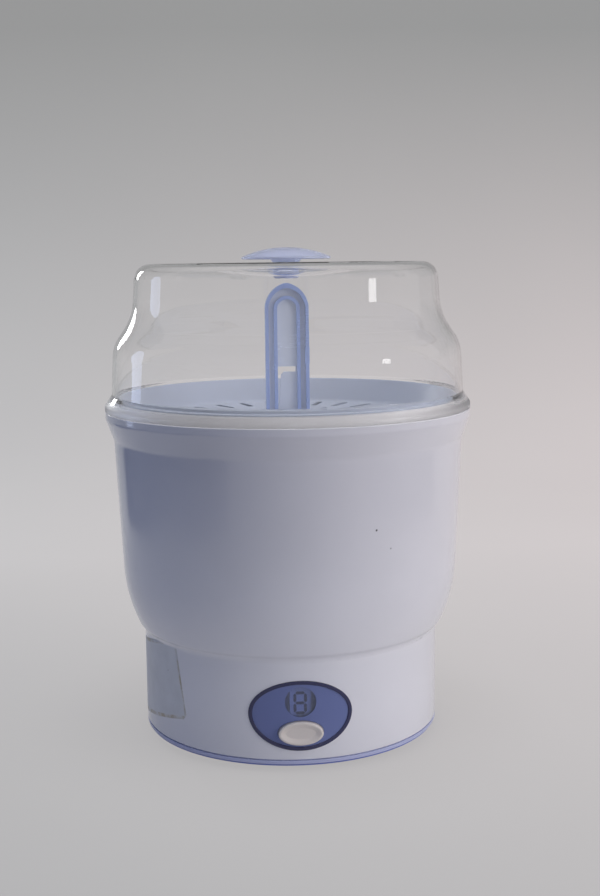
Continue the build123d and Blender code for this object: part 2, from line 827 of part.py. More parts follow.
# Lid: stepped clear dome with a dished top and a rounded flange that rests on the land
dish_depth = lid_top - dish_floor
dish_sphere = ((dish_radius - dish_flat) ** 2 + dish_depth**2) / (2 * dish_depth)
rib_inner = 112.7
rib_outer = 114.3
rib_bottom = 208.6
with BuildPart() as lid_dome:
    with BuildSketch(Plane.XZ):
        with BuildLine():
            Line((0, dish_floor), (dish_flat, dish_floor))
            dish_arc = RadiusArc((dish_flat, dish_floor), (dish_radius, lid_top), -dish_sphere)
            skin = FilletPolyline(
                dish_arc @ 1,
                lid_corner,
                waist_top,
                waist_bottom,
                flange_start,
                flange_shoulder,
                (rim_radius, seat_height),
                radius=[lid_corner_blend, waist_top_blend, waist_bottom_blend, 1.6, 3.2],
            )
            skirt = Polyline(
                skin @ 1,
                (rib_outer + 0.8, seat_height),
                (rib_outer, seat_height - 0.2),
                (rib_outer, rib_bottom),
                (rib_inner, rib_bottom),
                (rib_inner, seat_height + 1.2),
            )
            lining = FilletPolyline(
                skirt @ 1,
                (rib_inner, flange_shoulder.Y - 0.4),
                (flange_start.X - lid_wall, flange_start.Y - 0.9),
                (waist_bottom.X - lid_wall, waist_bottom.Y - 0.4),
                (waist_top.X - lid_wall, waist_top.Y - 0.6),
                (lid_corner.X - lid_wall - 0.2, lid_top - lid_wall),
                (dish_radius + lid_wall / 2, lid_top - lid_wall),
                radius=[
                    0.4,
                    1.2,
                    waist_bottom_blend - lid_wall,
                    waist_top_blend + lid_wall,
                    lid_corner_blend - lid_wall,
                ],
            )
            RadiusArc(lining @ 1, (dish_flat, dish_floor - lid_wall), dish_sphere + lid_wall)
            Polyline((dish_flat, dish_floor - lid_wall), (0, dish_floor - lid_wall), (0, dish_floor))
        make_face()
    revolve(axis=Axis.Z)
    with BuildSketch(Plane.XY.offset(dish_floor - lid_wall - 1.0)):
        Circle(knob_spigot)
    extrude(amount=lid_wall + 2.0, mode=Mode.SUBTRACT)
lid_dome.part.label = "lid_dome"

# Knob: a shallow lens on a boss that stands in the dish, its spigot held by a retainer
knob_sagitta = knob_top - knob_rim
knob_sphere = (knob_radius**2 + knob_sagitta**2) / (2 * knob_sagitta)
with BuildPart() as lid_knob:
    with BuildSketch(Plane.XZ):
        with BuildLine():
            crown = RadiusArc((0, knob_top), (knob_radius, knob_rim), knob_sphere)
            Polyline(
                crown @ 1,
                (knob_radius, knob_rim - 0.9),
                (knob_radius - 1.4, knob_underside),
                (knob_boss + 2.0, knob_underside),
                (knob_boss, knob_underside - 2.0),
                (knob_boss, dish_floor + 0.3),
                (knob_boss - 1.0, dish_floor),
                (knob_spigot, dish_floor),
                (knob_spigot, dish_floor - lid_wall - 1.8),
                (0, dish_floor - lid_wall - 1.8),
                (0, knob_top),
            )
        make_face()
    revolve(axis=Axis.Z)
lid_knob.part.label = "lid_knob"

with BuildPart() as knob_retainer:
    with BuildSketch(Plane.XZ):
        with BuildLine():
            Polyline(
                (knob_spigot, dish_floor - lid_wall),
                (knob_boss - 0.2, dish_floor - lid_wall),
                (knob_boss, dish_floor - lid_wall - 0.4),
                (knob_boss - 1.2, dish_floor - lid_wall - 1.8),
                (knob_spigot, dish_floor - lid_wall - 1.8),
                close=True,
            )
        make_face()
    revolve(axis=Axis.Z)
knob_retainer.part.label = "knob_retainer"

pieces = [
    outer_housing,
    base_ring,
    base_cover,
    rubber_feet,
    cover_screws,
    inlet_bush,
    panel_bezel,
    panel_fascia,
    display_window,
    button_cap,
    switch_plunger,
    switch_body,
    display_board,
    digit_module,
    plate_seal,
    heating_plate,
    heater_block,
    heater_element,
    heater_strap,
    strap_screws,
    thermostat,
    thermal_fuse,
    power_board,
    board_screws,
    transformer,
    relay,
    capacitor,
    terminal_block,
    parts_tray,
    bottle_rack,
    stem_handle,
    lid_dome,
    lid_knob,
    knob_retainer,
]
for piece in pieces:
    export_step(piece.part, f"parts/{piece.part.label}.step")
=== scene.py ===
"""Looks of an electric steam steriliser for feeding bottles, on its packed construction model."""

import logging
import math
from dataclasses import dataclass, field
from enum import Enum

import bmesh
import bpy
from mathutils import Matrix, Vector

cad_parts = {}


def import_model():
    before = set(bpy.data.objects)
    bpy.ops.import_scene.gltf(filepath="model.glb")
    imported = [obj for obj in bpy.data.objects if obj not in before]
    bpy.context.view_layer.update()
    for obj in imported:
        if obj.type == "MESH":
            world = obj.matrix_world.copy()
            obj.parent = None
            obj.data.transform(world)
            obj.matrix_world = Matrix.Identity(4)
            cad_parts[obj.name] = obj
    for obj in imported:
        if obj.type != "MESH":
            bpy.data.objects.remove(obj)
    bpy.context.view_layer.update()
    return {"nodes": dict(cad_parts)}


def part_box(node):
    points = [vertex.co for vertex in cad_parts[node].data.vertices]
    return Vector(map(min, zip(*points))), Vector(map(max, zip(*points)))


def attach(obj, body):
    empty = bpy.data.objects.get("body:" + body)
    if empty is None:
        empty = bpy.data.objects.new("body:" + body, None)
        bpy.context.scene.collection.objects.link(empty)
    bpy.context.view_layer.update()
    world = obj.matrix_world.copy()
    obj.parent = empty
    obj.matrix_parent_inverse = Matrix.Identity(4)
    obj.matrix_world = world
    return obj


logging.basicConfig(level=logging.INFO, format="%(message)s")
log = logging.getLogger("steriliser")

Colour = tuple[float, float, float, float]
Feed = bpy.types.NodeSocket | float | tuple[float, ...]
Span = tuple[float, float]
MILLIMETRE = 0.001
SCREEN_STEPS = 255
SCREEN_KNEE = 0.04045
SCREEN_SLOPE = 12.92
SCREEN_LIFT = 0.055
SCREEN_POWER = 2.4


def shade(red: int, green: int, blue: int) -> Colour:
    """Turn a colour as a screen shows it into the linear colour that a shader takes.

    Args:
        red: Red from 0 to 255.
        green: Green from 0 to 255.
        blue: Blue from 0 to 255.

    Returns:
        The linear colour with full alpha.
    """

    def linear(value: int) -> float:
        """Undo the screen's curve for one channel."""
        part = value / SCREEN_STEPS
        if part <= SCREEN_KNEE:
            return part / SCREEN_SLOPE
        return ((part + SCREEN_LIFT) / (1 + SCREEN_LIFT)) ** SCREEN_POWER

    return linear(red), linear(green), linear(blue), 1.0


class Graph:
    """A node tree with short ways to add and join its nodes."""

    def __init__(self, tree: bpy.types.NodeTree) -> None:
        """Start from an empty tree.

        Args:
            tree: The node tree to fill.
        """
        tree.nodes.clear()
        self.tree = tree

    def add(
        self, kind: str, feeds: dict[str | int, Feed] | None = None, **settings: object
    ) -> bpy.types.Node:
        """Add one shader node.

        Args:
            kind: The node's class name without its first word.
            feeds: Values or sockets for the node's inputs, by name or place.
            **settings: Properties of the node.

        Returns:
            The new node.
        """
        node = self.tree.nodes.new("ShaderNode" + kind)
        for name, value in settings.items():
            setattr(node, name, value)
        for name, value in (feeds or {}).items():
            self.feed(node.inputs[name], value)
        return node

    def feed(self, socket: bpy.types.NodeSocket, value: Feed) -> None:
        """Join a socket to another one, or set its own value."""
        if isinstance(value, bpy.types.NodeSocket):
            self.tree.links.new(value, socket)
        else:
            socket.default_value = value

    def math(
        self, operation: str, first: Feed, second: Feed = 0.0, clamp: bool = False
    ) -> bpy.types.NodeSocket:
        """Work out one sum of two numbers and return its socket."""
        feeds = {0: first, 1: second}
        return self.add("Math", feeds, operation=operation, use_clamp=clamp).outputs[0]

    def weigh(self, value: Feed, share: Feed, base: Feed) -> bpy.types.NodeSocket:
        """Multiply a number by a share, add a base, and return the socket of the result."""
        feeds = {0: value, 1: share, 2: base}
        return self.add("Math", feeds, operation="MULTIPLY_ADD").outputs[0]

    def remap(self, value: Feed, source: Span, target: Span = (0.0, 1.0)) -> bpy.types.NodeSocket:
        """Stretch a range of numbers onto another one, held at its ends.

        Args:
            value: The number to map.
            source: The range that it comes in.
            target: The range that it leaves in.

        Returns:
            The socket of the mapped number.
        """
        feeds = {"Value": value, 1: source[0], 2: source[1], 3: target[0], 4: target[1]}
        return self.add("MapRange", feeds).outputs[0]

    def blend(self, factor: Feed, first: Feed, second: Feed) -> bpy.types.NodeSocket:
        """Blend two colours and return the socket of the result."""
        feeds = {0: factor, 6: first, 7: second}
        return self.add("Mix", feeds, data_type="RGBA").outputs[2]

    def noise(self, vector: Feed, scale: Feed, detail: float = 2.0) -> bpy.types.NodeSocket:
        """Add a noise and return the socket of its value."""
        feeds = {"Vector": vector, "Scale": scale, "Detail": detail}
        return self.add("TexNoise", feeds).outputs["Fac"]

    def place(self) -> bpy.types.NodeSocket:
        """Return the socket of the point's own place on the piece, in metres."""
        return self.add("TexCoord").outputs["Object"]

    def seen(self) -> bpy.types.NodeSocket:
        """Return the socket that is 1 where an eye, gloss or glass looks, and 0 for plain light."""
        path = self.add("LightPath").outputs
        mirrored = self.math("MAXIMUM", path["Is Camera Ray"], path["Is Glossy Ray"])
        return self.math("MAXIMUM", mirrored, path["Is Transmission Ray"])

    def relief(self, height: Feed) -> bpy.types.NodeSocket:
        """Return the socket of the normal that a height in metres gives."""
        return self.add("Bump", {"Strength": 1.0, "Distance": 1.0, "Height": height}).outputs[0]


class Effects:
    """Node groups for the marks that several finishes share, each built once."""

    CLOUD_SPAN = (0.3, 0.7)
    CLOUD_DETAIL = 4.0
    SPECK_RIM = (0.10, 0.045)
    SCRATCH_TURNS = ((0.3, 0.5, 0.9), (1.1, -0.4, 0.2), (-0.7, 0.8, -0.3))
    SCRATCH_STRETCH = (1.0, 34.0, 34.0)
    SCRATCH_RIDGE = (0.012, 0.004)
    SCRATCH_CUTOFF = 0.75
    SCRATCH_SPREAD = 0.5
    SKIN_DETAIL = 3.0
    EDGE_MATCH = (0.985, 0.80)
    EDGE_SAMPLES = 4
    DUST_FACING = (0.2, 0.95)
    DUST_FINENESS = 420.0
    DUST_DETAIL = 5.0
    DUST_GRAINS = (0.42, 0.62)

    def __init__(self) -> None:
        """Start with no group built."""
        self.built: dict[str, bpy.types.NodeTree] = {}

    def group(
        self, name: str, inputs: dict[str, float | Colour], outputs: dict[str, str]
    ) -> tuple[Graph, bpy.types.Node, bpy.types.Node]:
        """Open a new group with its sockets.

        Args:
            name: The group's name.
            inputs: Input names with their first values, where a colour is four numbers.
            outputs: Output names with their kind, Float or Color.

        Returns:
            The graph inside the group, its input node and its output node.
        """
        tree = bpy.data.node_groups.new(name, "ShaderNodeTree")
        for label, value in inputs.items():
            kind = "NodeSocketColor" if isinstance(value, tuple) else "NodeSocketFloat"
            socket = tree.interface.new_socket(label, in_out="INPUT", socket_type=kind)
            socket.default_value = value
        for label, kind in outputs.items():
            tree.interface.new_socket(label, in_out="OUTPUT", socket_type="NodeSocket" + kind)
        self.built[name] = tree
        graph = Graph(tree)
        return graph, tree.nodes.new("NodeGroupInput"), tree.nodes.new("NodeGroupOutput")

    def tone_cloud(self) -> bpy.types.NodeTree:
        """Build the slow change of tone that old moulded plastic has.

        Returns:
            A group that takes Colour, Amount and Size in metres, and gives Colour.
        """
        if "tone_cloud" not in self.built:
            inputs = {"Colour": (0.8, 0.8, 0.8, 1.0), "Amount": 0.05, "Size": 0.05}
            graph, start, end = self.group("tone_cloud", inputs, {"Colour": "Color"})
            scale = graph.math("DIVIDE", 1.0, start.outputs["Size"])
            cloud = graph.noise(graph.place(), scale, self.CLOUD_DETAIL)
            swing = graph.remap(cloud, self.CLOUD_SPAN, (-1.0, 1.0))
            gain = graph.weigh(swing, start.outputs["Amount"], 1.0)
            feeds = {0: start.outputs["Colour"], "Scale": gain}
            toned = graph.add("VectorMath", feeds, operation="SCALE").outputs[0]
            graph.feed(end.inputs["Colour"], toned)
        return self.built["tone_cloud"]

    def specks(self) -> bpy.types.NodeTree:
        """Build the scattered dark specks that settle in scuffed plastic.

        Returns:
            A group that takes Size in metres and Share, and gives Mask.
        """
        if "specks" not in self.built:
            inputs = {"Size": 0.004, "Share": 0.05}
            graph, start, end = self.group("specks", inputs, {"Mask": "Float"})
            scale = graph.math("DIVIDE", 1.0, start.outputs["Size"])
            cells = graph.add("TexVoronoi", {"Vector": graph.place(), "Scale": scale})
            dot = graph.remap(cells.outputs["Distance"], self.SPECK_RIM)
            draw = graph.add("SeparateColor", {0: cells.outputs["Color"]}).outputs[0]
            chosen = graph.math("LESS_THAN", draw, start.outputs["Share"])
            graph.feed(end.inputs["Mask"], graph.math("MULTIPLY", dot, chosen))
        return self.built["specks"]

    def hairlines(self) -> bpy.types.NodeTree:
        """Build the fine crossing scratches of a wiped surface.

        Returns:
            A group that takes Length in metres and Share, and gives Mask.
        """
        if "hairlines" not in self.built:
            inputs = {"Length": 0.03, "Share": 0.3}
            graph, start, end = self.group("hairlines", inputs, {"Mask": "Float"})
            scale = graph.math("DIVIDE", 1.0, start.outputs["Length"])
            strands = []
            for turn in self.SCRATCH_TURNS:
                feeds = {"Vector": graph.place(), "Rotation": turn, "Scale": self.SCRATCH_STRETCH}
                drawn = graph.add("Mapping", feeds).outputs[0]
                off_middle = graph.math("SUBTRACT", graph.noise(drawn, scale, 1.0), 0.5)
                strands.append(graph.remap(graph.math("ABSOLUTE", off_middle), self.SCRATCH_RIDGE))
            lines = strands[0]
            for strand in strands[1:]:
                lines = graph.math("MAXIMUM", lines, strand)
            patch = graph.noise(graph.place(), scale)
            spread = graph.math("MULTIPLY", start.outputs["Share"], self.SCRATCH_SPREAD)
            bare_below = graph.math("SUBTRACT", self.SCRATCH_CUTOFF, spread)
            shown = graph.math("GREATER_THAN", patch, bare_below)
            graph.feed(end.inputs["Mask"], graph.math("MULTIPLY", lines, shown))
        return self.built["hairlines"]

    def skin_texture(self) -> bpy.types.NodeTree:
        """Build the faint unevenness of a moulded or cast surface.

        Returns:
            A group that takes Size in metres, and gives Height.
        """
        if "skin_texture" not in self.built:
            graph, start, end = self.group("skin_texture", {"Size": 0.001}, {"Height": "Float"})
            scale = graph.math("DIVIDE", 1.0, start.outputs["Size"])
            graph.feed(end.inputs["Height"], graph.noise(graph.place(), scale, self.SKIN_DETAIL))
        return self.built["skin_texture"]

    def edge_wear(self) -> bpy.types.NodeTree:
        """Build the rubbed band along edges.

        Returns:
            A group that takes Width in metres, and gives Mask.
        """
        if "edge_wear" not in self.built:
            graph, start, end = self.group("edge_wear", {"Width": 0.0006}, {"Mask": "Float"})
            feeds = {"Radius": start.outputs["Width"]}
            rounded = graph.add("Bevel", feeds, samples=self.EDGE_SAMPLES).outputs[0]
            flat = graph.add("NewGeometry").outputs["Normal"]
            feeds = {0: rounded, 1: flat}
            match = graph.add("VectorMath", feeds, operation="DOT_PRODUCT").outputs["Value"]
            graph.feed(end.inputs["Mask"], graph.remap(match, self.EDGE_MATCH))
        return self.built["edge_wear"]

    def settled_dust(self) -> bpy.types.NodeTree:
        """Build the dust that lies on what faces up.

        Returns:
            A group that takes Share, and gives Mask.
        """
        if "settled_dust" not in self.built:
            graph, start, end = self.group("settled_dust", {"Share": 0.2}, {"Mask": "Float"})
            normal = graph.add("NewGeometry").outputs["Normal"]
            upward = graph.add("SeparateXYZ", {0: normal}).outputs["Z"]
            facing = graph.remap(upward, self.DUST_FACING)
            cloud = graph.noise(graph.place(), self.DUST_FINENESS, self.DUST_DETAIL)
            grains = graph.math("MULTIPLY", facing, graph.remap(cloud, self.DUST_GRAINS))
            graph.feed(end.inputs["Mask"], graph.math("MULTIPLY", grains, start.outputs["Share"]))
        return self.built["settled_dust"]

    def turned_lines(self) -> bpy.types.NodeTree:
        """Build the rings that a lathe or a polishing wheel leaves about the main axis.

        Returns:
            A group that takes Pitch in metres, and gives Height.
        """
        if "turned_lines" not in self.built:
            graph, start, end = self.group("turned_lines", {"Pitch": 0.0006}, {"Height": "Float"})
            parts = graph.add("SeparateXYZ", {0: graph.place()}).outputs
            flat = graph.add("CombineXYZ", {0: parts[0], 1: parts[1]}).outputs[0]
            radius = graph.add("VectorMath", {0: flat}, operation="LENGTH").outputs["Value"]
            rings = graph.math("DIVIDE", radius, start.outputs["Pitch"])
            drawn = graph.add("CombineXYZ", {0: rings}).outputs[0]
            graph.feed(end.inputs["Height"], graph.noise(drawn, 1.0, self.SKIN_DETAIL))
        return self.built["turned_lines"]

    @staticmethod
    def use(graph: Graph, tree: bpy.types.NodeTree, feeds: dict[str, Feed]) -> bpy.types.NodeSocket:
        """Place a group in a material.

        Args:
            graph: The material's graph.
            tree: The group.
            feeds: The group's inputs.

        Returns:
            The group's only output.
        """
        node = graph.add("Group", node_tree=tree)
        for name, value in feeds.items():
            graph.feed(node.inputs[name], value)
        return node.outputs[0]


EFFECTS = Effects()


@dataclass(frozen=True)
class Finish:
    """What every finish has: a name, a colour and a roughness."""

    name: str
    colour: Colour
    roughness: float = 0.35

    def shader(self, graph: Graph) -> bpy.types.Node:
        """Add the surface shader with its plain values.

        Args:
            graph: The material's graph.

        Returns:
            The Principled shader.
        """
        return graph.add("BsdfPrincipled", {"Base Color": self.colour, "Roughness": self.roughness})

    def close(self, graph: Graph, surface: bpy.types.NodeSocket) -> None:
        """Join the surface to the material's output."""
        graph.add("OutputMaterial", {"Surface": surface})

    def build(self, graph: Graph) -> None:
        """Build the material's nodes."""
        self.close(graph, self.shader(graph).outputs[0])

    def material(self) -> bpy.types.Material:
        """Return the finish's material, built at its first use.

        Returns:
            The material, under a name that no packed material has.
        """
        name = f"{self.name}_finish"
        found = bpy.data.materials.get(name)
        if found is None:
            found = bpy.data.materials.new(name)
            found.use_nodes = True
            self.build(Graph(found.node_tree))
        return found

    def dress(self, piece: bpy.types.Object) -> None:
        """Give a piece this finish in all its slots.

        Args:
            piece: The mesh object to dress.
        """
        if not piece.material_slots:
            piece.data.materials.append(self.material())
        for slot in piece.material_slots:
            slot.material = self.material()


@dataclass(frozen=True)
class Moulding(Finish):
    """Opaque moulded plastic or rubber with tone, scuffs, specks and rubbed edges."""

    cloud: float = 0.03
    cloud_size: float = 0.06
    skin: float = 0.00002
    skin_size: float = 0.0009
    scuffs: float = 0.25
    scuff_length: float = 0.03
    scuff_depth: float = 0.12
    scuff_relief: float = 0.3
    specks: float = 0.0
    speck_size: float = 0.012
    speck_colour: Colour = shade(82, 80, 86)
    dust: float = 0.12
    dust_colour: Colour = shade(206, 202, 196)
    dust_roughness: float = 0.35
    edge: Colour = (0.9, 0.9, 0.9, 1.0)
    edge_share: float = 0.12
    edge_width: float = 0.0006
    coat: float = 0.0
    coat_roughness: float = 0.05
    edge_patches: float = 0.0
    patch_span: Span = (0.42, 0.62)
    patch_least: float = 0.1
    glow_through: float = 0.0

    def tone(self, graph: Graph) -> Feed:
        """Return the colour before it is clouded, worn or dusty."""
        return self.colour

    def build(self, graph: Graph) -> None:
        """Build the material's nodes."""
        shader = self.shader(graph)
        feeds = {"Colour": self.tone(graph), "Amount": self.cloud, "Size": self.cloud_size}
        colour = EFFECTS.use(graph, EFFECTS.tone_cloud(), feeds)
        if self.edge_share:
            worn = EFFECTS.use(graph, EFFECTS.edge_wear(), {"Width": self.edge_width})
            if self.edge_patches:
                patch = graph.noise(graph.place(), 1.0 / self.edge_patches, 3.0)
                kept = graph.remap(patch, self.patch_span, (self.patch_least, 1.0))
                worn = graph.math("MULTIPLY", worn, kept)
            colour = graph.blend(graph.math("MULTIPLY", worn, self.edge_share), colour, self.edge)
        if self.specks:
            feeds = {"Size": self.speck_size, "Share": self.specks}
            spots = EFFECTS.use(graph, EFFECTS.specks(), feeds)
            colour = graph.blend(spots, colour, self.speck_colour)
        dust = EFFECTS.use(graph, EFFECTS.settled_dust(), {"Share": self.dust})
        colour = graph.blend(dust, colour, self.dust_colour)
        feeds = {"Length": self.scuff_length, "Share": self.scuffs}
        lines = EFFECTS.use(graph, EFFECTS.hairlines(), feeds)
        rough = graph.weigh(lines, self.scuff_depth, self.roughness)
        dusty = graph.math("MULTIPLY", dust, self.dust_roughness)
        rough = graph.math("ADD", rough, dusty, clamp=True)
        skin = EFFECTS.use(graph, EFFECTS.skin_texture(), {"Size": self.skin_size})
        raised = graph.math("SUBTRACT", skin, graph.math("MULTIPLY", lines, self.scuff_relief))
        height = graph.math("MULTIPLY", raised, self.skin)
        graph.feed(shader.inputs["Base Color"], colour)
        graph.feed(shader.inputs["Roughness"], rough)
        graph.feed(shader.inputs["Normal"], graph.relief(height))
        graph.feed(shader.inputs["Coat Weight"], self.coat)
        graph.feed(shader.inputs["Coat Roughness"], self.coat_roughness)
        graph.feed(shader.inputs["Transmission Weight"], self.glow_through)
        self.close(graph, shader.outputs[0])


@dataclass(frozen=True)
class RibbedMoulding(Moulding):
    """See-through coloured plastic that looks deeper where ribs stand out from its thin web."""

    rib_colour: Colour = (0.2, 0.3, 0.7, 1.0)
    web_half: float = 1.2 * MILLIMETRE
    rib_half: float = 3.0 * MILLIMETRE

    def tone(self, graph: Graph) -> Feed:
        """Return the colour before it is clouded, worn or dusty."""
        depth = graph.math("ABSOLUTE", graph.add("SeparateXYZ", {0: graph.place()}).outputs["Y"])
        share = graph.remap(depth, (self.web_half, self.rib_half))
        return graph.blend(share, self.colour, self.rib_colour)


@dataclass(frozen=True)
class ClearMoulding(Finish):
    """See-through moulded plastic that lets lamps reach what is behind it."""

    refraction: float = 1.49
    clearness: float = 1.0
    scuffs: float = 0.3
    scuff_length: float = 0.035
    scuff_depth: float = 0.10
    lamp_tint: Colour = (0.9, 0.9, 0.9, 1.0)
    skin: float = 0.00001
    skin_size: float = 0.006
    frosted_below: Span = (0.0, 0.0)
    frost: float = 0.0

    def build(self, graph: Graph) -> None:
        """Build the material's nodes."""
        shader = self.shader(graph)
        graph.feed(shader.inputs["IOR"], self.refraction)
        graph.feed(shader.inputs["Transmission Weight"], self.clearness)
        feeds = {"Length": self.scuff_length, "Share": self.scuffs}
        lines = EFFECTS.use(graph, EFFECTS.hairlines(), feeds)
        rough = graph.weigh(lines, self.scuff_depth, self.roughness)
        if self.frost:
            height = graph.add("SeparateXYZ", {0: graph.place()}).outputs["Z"]
            frost = graph.remap(height, self.frosted_below, (self.frost, 0.0))
            rough = graph.math("MAXIMUM", rough, frost)
        graph.feed(shader.inputs["Roughness"], rough)
        skin = EFFECTS.use(graph, EFFECTS.skin_texture(), {"Size": self.skin_size})
        graph.feed(shader.inputs["Normal"], graph.relief(graph.math("MULTIPLY", skin, self.skin)))
        lamps_pass = graph.add("BsdfTransparent", {"Color": self.lamp_tint})
        shadow = graph.add("LightPath").outputs["Is Shadow Ray"]
        feeds = {0: shadow, 1: shader.outputs[0], 2: lamps_pass.outputs[0]}
        self.close(graph, graph.add("MixShader", feeds).outputs[0])


class Grain(Enum):
    """How a metal surface was worked."""

    TURNED = "turned"
    CAST = "cast"
    ROLLED = "rolled"

    @property
    def pitch(self) -> float:
        """Return how far apart the working marks stand, in metres."""
        return {Grain.TURNED: 0.0005, Grain.CAST: 0.0012, Grain.ROLLED: 0.0004}[self]


@dataclass(frozen=True)
class Metal(Finish):
    """Bare metal with its working marks and the stain that heat and water leave."""

    cloud: float = 0.06
    cloud_size: float = 0.03
    grain: Grain = Grain.ROLLED
    grain_depth: float = 0.00002
    grain_roughness: float = 0.18
    stain: Colour = (0.6, 0.6, 0.6, 1.0)
    stain_share: float = 0.3
    stain_size: float = 0.02
    stain_span: Span = (0.48, 0.66)
    stain_roughness: float = 0.3
    stain_metallic: float = 0.2

    def marks(self, graph: Graph) -> bpy.types.NodeSocket:
        """Return the socket of the working marks' height."""
        if self.grain is Grain.TURNED:
            return EFFECTS.use(graph, EFFECTS.turned_lines(), {"Pitch": self.grain.pitch})
        return EFFECTS.use(graph, EFFECTS.skin_texture(), {"Size": self.grain.pitch})

    def build(self, graph: Graph) -> None:
        """Build the material's nodes."""
        shader = self.shader(graph)
        feeds = {"Colour": self.colour, "Amount": self.cloud, "Size": self.cloud_size}
        colour = EFFECTS.use(graph, EFFECTS.tone_cloud(), feeds)
        patch = graph.remap(graph.noise(graph.place(), 1.0 / self.stain_size, 5.0), self.stain_span)
        stained = graph.math("MULTIPLY", patch, self.stain_share)
        metallic = graph.remap(stained, (0.0, 1.0), (1.0, self.stain_metallic))
        marks = self.marks(graph)
        rough = graph.weigh(marks, self.grain_roughness, self.roughness)
        height = graph.math("MULTIPLY", marks, self.grain_depth)
        graph.feed(shader.inputs["Metallic"], metallic)
        graph.feed(shader.inputs["Base Color"], graph.blend(stained, colour, self.stain))
        graph.feed(shader.inputs["Roughness"], graph.weigh(stained, self.stain_roughness, rough))
        graph.feed(shader.inputs["Normal"], graph.relief(height))
        self.close(graph, shader.outputs[0])


@dataclass(frozen=True)
class CircuitBoard(Finish):
    """Coated glass-fibre board with copper tracks that show through the coating."""

    cloud: float = 0.08
    cloud_size: float = 0.01
    track: Colour = (0.1, 0.3, 0.15, 1.0)
    track_pitch: float = 0.0032
    track_span: Span = (0.42, 0.46)
    track_proud: float = 0.00003
    track_roughness: float = 0.22

    def build(self, graph: Graph) -> None:
        """Build the material's nodes."""
        shader = self.shader(graph)
        feeds = {"Vector": graph.place(), "Scale": 1.0 / self.track_pitch}
        cells = graph.add("TexVoronoi", feeds, distance="MANHATTAN")
        track = graph.remap(cells.outputs["Distance"], self.track_span)
        feeds = {"Colour": self.colour, "Amount": self.cloud, "Size": self.cloud_size}
        coat = EFFECTS.use(graph, EFFECTS.tone_cloud(), feeds)
        rough = graph.remap(track, (0.0, 1.0), (self.roughness, self.track_roughness))
        height = graph.math("MULTIPLY", track, self.track_proud)
        graph.feed(shader.inputs["Base Color"], graph.blend(track, coat, self.track))
        graph.feed(shader.inputs["Roughness"], rough)
        graph.feed(shader.inputs["Normal"], graph.relief(height))
        self.close(graph, shader.outputs[0])


@dataclass(frozen=True)
class BackdropPaper(Finish):
    """Matt backdrop paper, pale to the eye, that shows nothing from beneath, with painted light
    towards the right and painted shade up the wall and towards the front.
    """

    # Painted light towards the right, painted shade high on the wall and towards the front.
    painted_light_right: Colour = (0.6, 0.6, 0.6, 1.0)
    painted_shade_high: Colour = (0.4, 0.4, 0.4, 1.0)
    near: Colour = (0.4, 0.4, 0.4, 1.0)
    near_right: float = 0.35
    even_share: float = 0.75
    painted_light_across: Span = (-0.6, 0.6)
    painted_shade_heights: Span = (0.0, 0.75)
    painted_shade_depths: Span = (0.5, -0.25)
    cloud: float = 0.012
    cloud_size: float = 0.5

    def build(self, graph: Graph) -> None:
        """Build the material's nodes."""
        shader = self.shader(graph)
        parts = graph.add("SeparateXYZ", {0: graph.place()}).outputs
        # Painted light and shade: lighter towards the right, darker up the wall and towards the
        # front, less so on the right.
        across = graph.remap(parts["X"], self.painted_light_across)
        upward = graph.remap(parts["Z"], self.painted_shade_heights)
        painted_front_shade = graph.remap(parts["Y"], self.painted_shade_depths)
        share = graph.remap(across, (0.0, 1.0), (1.0, self.near_right))
        painted_front_shade = graph.math("MULTIPLY", painted_front_shade, share)
        paper = graph.blend(upward, graph.blend(across, self.colour, self.painted_light_right), self.painted_shade_high)
        paper = graph.blend(painted_front_shade, paper, self.near)
        feeds = {"Colour": paper, "Amount": self.cloud, "Size": self.cloud_size}
        paper = EFFECTS.use(graph, EFFECTS.tone_cloud(), feeds)
        graph.feed(shader.inputs["Base Color"], paper)
        # The eye, gloss and glass see this painted light and shade mostly as glow.
        even = graph.add("Emission", {"Color": paper})
        even_share = graph.math("MULTIPLY", graph.seen(), self.even_share)
        front = graph.add("MixShader", {0: even_share, 1: shader.outputs[0], 2: even.outputs[0]})
        behind = graph.add("NewGeometry").outputs["Backfacing"]
        clear = graph.add("BsdfTransparent")
        feeds = {0: behind, 1: front.outputs[0], 2: clear.outputs[0]}
        self.close(graph, graph.add("MixShader", feeds).outputs[0])


@dataclass(frozen=True)
class Glow(Finish):
    """The plain surface of a card that shows only in reflections."""

    def build(self, graph: Graph) -> None:
        """Build the material's nodes."""
        self.close(graph, graph.add("Emission", {"Color": self.colour}).outputs[0])


SHELL_WHITE = Moulding(
    "shell_white",
    shade(230, 230, 236),
    roughness=0.12,
    cloud=0.02,
    specks=0.035,
    speck_size=0.009,
    scuffs=0.35,
    scuff_depth=0.10,
    edge=shade(236, 236, 240),
    coat=0.15,
)
TRIM_LILAC = Moulding("trim_lilac", shade(186, 192, 226), roughness=0.25, edge=shade(220, 222, 240))
COVER_BLUE = Moulding("cover_blue", shade(108, 122, 196), roughness=0.34, edge=shade(160, 170, 215))
FOOT_RUBBER = Moulding(
    "foot_rubber", shade(64, 66, 74), roughness=0.75, skin=0.00006, edge_share=0.2
)
BUSH_GREY = Moulding("bush_grey", shade(188, 190, 200), roughness=0.42)
